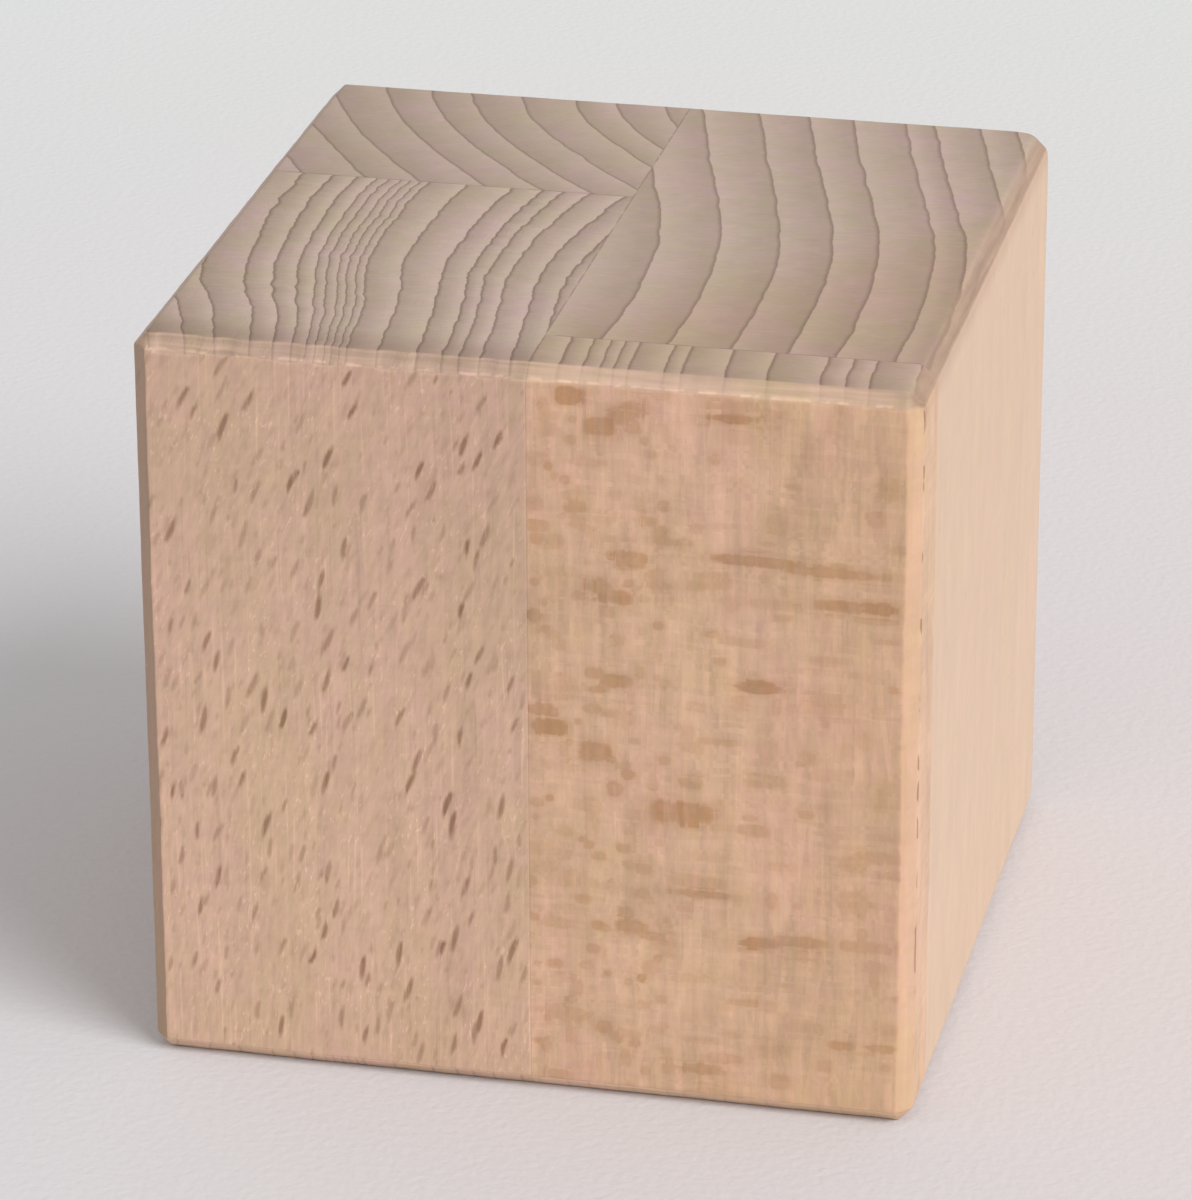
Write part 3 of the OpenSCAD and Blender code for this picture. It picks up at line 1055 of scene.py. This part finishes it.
def dashed_arris(wires, position, colour):
    """The colour with short dark dashes down the outer front arris of the front right stave."""
    x, y, z = wires.split(position)
    dashes = wires.noise(wires.join(x, y, z * 0.42 + 4.0), 1.0).ramp(0.53, 0.59)
    arris = abs(y - DASHED_ARRIS).ramp(0.22, 0.08) * x.ramp(39.7, 39.9) * z.ramp(6.0, 12.0)
    return wires.blend(dashes * arris, colour, solid(DASH_TINT), "MULTIPLY")


def mottled(wires, clouds, amount, colour):
    """A colour with soft patches of warmer and of greener wood."""
    warm = wires.blend(clouds["Warm"], *[solid(tint) for tint in WARM_TINTS])
    colour = wires.blend(amount, colour, warm, "MULTIPLY")
    olive = wires.blend(clouds["Olive"], *[solid(tint) for tint in OLIVE_TINTS])
    return wires.blend(amount, colour, olive, "MULTIPLY")


def beech(node, looks):
    """The wood of one stave, with its rings, rays, fibres, glue line and planed edges."""
    stave = STAVES[node]
    material = bpy.data.materials.new(node)
    material.use_nodes = True
    wires = Wires(material.node_tree)
    shader = wires.tree.nodes["Principled BSDF"]
    wood = wood_fields(wires, node, looks)
    edges = wood["edges"]
    long_grain = planed_wood(wires, stave, edges, long_wood(wires, node, looks, wood))
    if node == "stave_front_right":
        long_grain = dashed_arris(wires, wood["position"], long_grain)
    cut_end = end_wood(wires, looks, stave, wood)
    colour = wires.blend(edges["End"], long_grain, cut_end)
    colour = mottled(wires, wood["clouds"], edges["End"].ramp(0.0, 1.0, stave["mottle"], 1.0), colour)
    seam = wood["glue"] * edges["End"].ramp(0.0, 1.0, 0.06, 0.6)
    wires.put(shader.inputs["Base Color"], wires.blend(seam, colour, solid(looks.glue)))
    rough = edges["End"].ramp(0.0, 1.0, 0.52, 0.68) + wood["fibre"]["Streak"] * 0.04
    wires.put(shader.inputs["Roughness"], rough - wood["figure"] * 0.06)
    if node == "stave_front_left":
        height = wood["dapple"]["Speck"] * 0.02 - wood["small_rays"] * 0.02
    else:
        height = wood["fibre"]["Hair"] * 0.006
    add_bump(wires, shader, height, MM)
    return material


def add_wood_groups():
    """All the node groups that the staves' materials share."""
    add_growth_rings()
    add_ring_wander()
    add_rays()
    add_fibre()
    add_dapple()
    add_end_grain()
    add_clouds()
    add_glue_line()
    add_planed_edges()
    add_cells()


# ---------------------------------------------------------------- operators


class BeechCubeLooks(PropertyGroup):
    chamfer: FloatProperty(
        name="Chamfer", description="Leg of the chamfer along every edge",
        default=1.5 * MM, min=0.5 * MM, max=2.0 * MM, unit="LENGTH", precision=5,
    )
    arris_ease: FloatProperty(
        name="Arris Ease", description="How softly the chamfer meets the flats",
        default=0.05 * MM, min=0.01 * MM, max=0.2 * MM, unit="LENGTH", precision=5,
    )
    tip_ease: FloatProperty(
        name="Tip Ease", description="Depth rubbed off a corner tip",
        default=0.35 * MM, min=0.1 * MM, max=1.5 * MM, unit="LENGTH", precision=5,
    )
    tip_ease_handled: FloatProperty(
        name="Handled Tip Ease", description="Depth rubbed off the back right top corner",
        default=0.7 * MM, min=0.1 * MM, max=1.5 * MM, unit="LENGTH", precision=5,
    )
    tip_softness: FloatProperty(
        name="Tip Softness", description="How softly the planes meet at the corner tips",
        default=0.14 * MM, min=0.01 * MM, max=0.6 * MM, unit="LENGTH", precision=5,
    )
    tip_reach: FloatProperty(
        name="Tip Reach", description="How far from a corner the softness of its tip is felt",
        default=2.2 * MM, min=0.5 * MM, max=10.0 * MM, unit="LENGTH", precision=5,
    )
    edge_ease: FloatProperty(
        name="Edge Ease", description="How softly the planes meet along the top right edge",
        default=0.2 * MM, min=0.01 * MM, max=0.6 * MM, unit="LENGTH", precision=5,
    )
    handled_ease: FloatProperty(
        name="Handled Ease", description="How softly the planes meet at the handled corner",
        default=0.32 * MM, min=0.01 * MM, max=0.6 * MM, unit="LENGTH", precision=5,
    )
    handled_reach: FloatProperty(
        name="Handled Reach", description="How far along the arrises the handled corner is soft",
        default=3.5 * MM, min=0.5 * MM, max=10.0 * MM, unit="LENGTH", precision=5,
    )
    joint_groove: FloatProperty(
        name="Joint Groove", description="Depth of the fine groove where two staves meet",
        default=0.03 * MM, min=0.0, max=0.1 * MM, unit="LENGTH", precision=5,
    )
    side_front_left: FloatVectorProperty(
        name="Front Left Side", description="Colour of the front left stave's long grain",
        default=(0.612, 0.402, 0.281), min=0.0, max=1.0, subtype="COLOR",
    )
    side_back_left: FloatVectorProperty(
        name="Back Left Side", description="Colour of the back left stave's long grain",
        default=(0.6, 0.405, 0.285), min=0.0, max=1.0, subtype="COLOR",
    )
    side_front_right: FloatVectorProperty(
        name="Front Right Side", description="Colour of the front right stave's long grain",
        default=(0.64, 0.405, 0.272), min=0.0, max=1.0, subtype="COLOR",
    )
    side_back_right: FloatVectorProperty(
        name="Back Right Side", description="Colour of the back right stave's long grain",
        default=(0.628, 0.445, 0.318), min=0.0, max=1.0, subtype="COLOR",
    )
    ray_tint: FloatVectorProperty(
        name="Ray Tint", description="What a full fleck does to the colour of the long grain",
        default=(0.7, 0.595, 0.445), min=0.0, max=1.0, subtype="COLOR",
    )
    spindle_tint: FloatVectorProperty(
        name="Spindle Tint", description="What a full spindle does to the front left long grain",
        default=(0.475, 0.38, 0.305), min=0.0, max=1.0, subtype="COLOR",
    )
    end_early: FloatVectorProperty(
        name="Early Wood", description="Colour of early wood on the end grain",
        default=(0.42, 0.318, 0.258), min=0.0, max=1.0, subtype="COLOR",
    )
    end_late: FloatVectorProperty(
        name="Late Wood", description="Colour of late wood on the end grain",
        default=(0.33, 0.24, 0.19), min=0.0, max=1.0, subtype="COLOR",
    )
    end_line: FloatVectorProperty(
        name="Ring Line", description="Colour of the thin line that ends a ring",
        default=(0.21, 0.142, 0.108), min=0.0, max=1.0, subtype="COLOR",
    )
    glue: FloatVectorProperty(
        name="Glue", description="Colour of the glue lines",
        default=(0.2, 0.13, 0.1), min=0.0, max=1.0, subtype="COLOR",
    )
    floor_near: FloatVectorProperty(
        name="Near Floor", description="Colour of the floor in front of the cube",
        default=(0.615, 0.572, 0.576), min=0.0, max=1.0, subtype="COLOR",
    )
    floor_left: FloatVectorProperty(
        name="Left Floor", description="Colour of the floor to the left of the cube",
        default=(0.585, 0.575, 0.59), min=0.0, max=1.0, subtype="COLOR",
    )
    floor_far: FloatVectorProperty(
        name="Far Floor", description="Colour of the floor well behind the cube",
        default=(0.615, 0.66, 0.64), min=0.0, max=1.0, subtype="COLOR",
    )


def add_stave(node):
    """Builds the piece that stands for one stave and ties it to the frame."""
    looks = bpy.context.scene.beech_cube
    low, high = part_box(node)
    mesh = stave_mesh(node, low, high, looks)
    if node in PAINTERS:
        paint_front(mesh, PAINTERS[node])
    piece = bpy.data.objects.new(node + "_wood", mesh)
    bpy.context.scene.collection.objects.link(piece)
    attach(piece, "root")
    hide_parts(node)
    piece.data.materials.append(beech(node, looks))


class BEECH_OT_staves(Operator):
    """Adds the four staves"""

    bl_idname = "beech.staves"
    bl_label = "Staves"

    def execute(self, context):
        add_wood_groups()
        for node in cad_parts:
            add_stave(node)
        return {"FINISHED"}


# The lamp is far and wide, like a large softbox to the right and a little to the front. Its
# azimuth, height and width are in degrees.
KEY_LEVEL = 0.77
KEY_AZIMUTH = 29.0
KEY_HEIGHT = 40.0
KEY_WIDTH = 35.0
SKY_LEVEL = 0.69
FLOOR_REACH = 3.0  # how far the floor goes from the middle, in metres
FLOOR_ROUGHNESS = 0.9
FLOOR_TOOTH = 900.0  # waves of the card's tooth in a metre
FLOOR_RELIEF = 0.1 * MM


def floor_material(looks):
    """Matt card, warmer in front of the cube and more neutral behind it."""
    material = bpy.data.materials.new("floor")
    material.use_nodes = True
    wires = Wires(material.node_tree)
    shader = wires.tree.nodes["Principled BSDF"]
    surface = wires.node("ShaderNodeTexCoord")
    x, y = wires.split(Field(wires, surface.outputs["Object"]))[:2]
    to_left = (x + y * 0.5).ramp(0.1, -0.12)
    near = wires.blend(to_left, solid(looks.floor_near), solid(looks.floor_left))
    wires.put(shader.inputs["Base Color"], wires.blend(y.ramp(0.05, 0.55), near, solid(looks.floor_far)))
    shader.inputs["Roughness"].default_value = FLOOR_ROUGHNESS
    tooth = wires.noise(wires.join(x * FLOOR_TOOTH, y * FLOOR_TOOTH, 0.0), 1.0)
    add_bump(wires, shader, tooth, FLOOR_RELIEF)
    return material


class BEECH_OT_stage(Operator):
    """Adds the floor, the lamp, the sky and the camera"""

    bl_idname = "beech.stage"
    bl_label = "Stage"

    def execute(self, context):
        scene = context.scene
        reach = FLOOR_REACH
        floor_mesh = bpy.data.meshes.new("floor")
        corners = [(-reach, -reach, 0), (reach, -reach, 0), (reach, reach, 0), (-reach, reach, 0)]
        floor_mesh.from_pydata(corners, [], [(0, 1, 2, 3)])
        floor = bpy.data.objects.new("floor", floor_mesh)
        scene.collection.objects.link(floor)
        floor_mesh.materials.append(floor_material(scene.beech_cube))
        world = bpy.data.worlds.new("studio")
        scene.world = world
        world.use_nodes = True
        sky = world.node_tree.nodes["Background"]
        sky.inputs["Color"].default_value = (1, 1, 1, 1)
        sky.inputs["Strength"].default_value = SKY_LEVEL
        lamp_data = bpy.data.lights.new("softbox", "SUN")
        lamp_data.angle = math.radians(KEY_WIDTH)
        lamp_data.energy = math.pi * KEY_LEVEL
        lamp = bpy.data.objects.new("softbox", lamp_data)
        scene.collection.objects.link(lamp)
        azimuth = math.radians(KEY_AZIMUTH)
        height = math.radians(KEY_HEIGHT)
        flat = math.cos(height)
        aim = Vector((flat * math.cos(azimuth), -flat * math.sin(azimuth), math.sin(height)))
        lamp.location = aim
        lamp.rotation_euler = aim.to_track_quat("Z", "Y").to_euler()
        add_camera(scene)
        scene.view_settings.view_transform = "Standard"
        return {"FINISHED"}


# Where the camera stands, the way it looks, and the way to its right
CAMERA_PLACE = (133.98 * MM, -598.02 * MM, 306.23 * MM)
CAMERA_FORWARD = (-0.20254, 0.89335, -0.40112)
CAMERA_RIGHT = (0.9756, 0.21953, -0.00368)
FOCAL_PIXELS = 6291.6
IMAGE_HEIGHT = 1200
SENSOR = 36.0  # in millimetres
CLIP_START = 0.01


def add_camera(scene):
    """Adds the camera and makes it the scene's own."""
    data = bpy.data.cameras.new("camera")
    data.sensor_width = SENSOR
    data.lens = SENSOR * FOCAL_PIXELS / IMAGE_HEIGHT
    data.clip_start = CLIP_START
    camera = bpy.data.objects.new("camera", data)
    scene.collection.objects.link(camera)
    forward = Vector(CAMERA_FORWARD).normalized()
    right = Vector(CAMERA_RIGHT).normalized()
    up = right.cross(forward)
    turn = Matrix((right, up, -forward)).transposed()
    camera.matrix_world = Matrix.Translation(CAMERA_PLACE) @ turn.to_4x4()
    scene.camera = camera


class BEECH_PT_panel(Panel):
    bl_idname = "BEECH_PT_panel"
    bl_label = "Beech Cube"
    bl_space_type = "VIEW_3D"
    bl_region_type = "UI"
    bl_category = "Beech Cube"

    def draw(self, context):
        looks = context.scene.beech_cube
        for name in looks.__annotations__:
            self.layout.prop(looks, name)
        self.layout.operator(BEECH_OT_staves.bl_idname)
        self.layout.operator(BEECH_OT_stage.bl_idname)


CLASSES = (BeechCubeLooks, BEECH_OT_staves, BEECH_OT_stage, BEECH_PT_panel)


def register():
    for listed in CLASSES:
        bpy.utils.register_class(listed)
    bpy.types.Scene.beech_cube = PointerProperty(type=BeechCubeLooks)


def unregister():
    del bpy.types.Scene.beech_cube
    for listed in reversed(CLASSES):
        bpy.utils.unregister_class(listed)


def main():
    register()
    bpy.ops.beech.stage()
    bpy.ops.beech.staves()


if __name__ == "__main__":
    main()
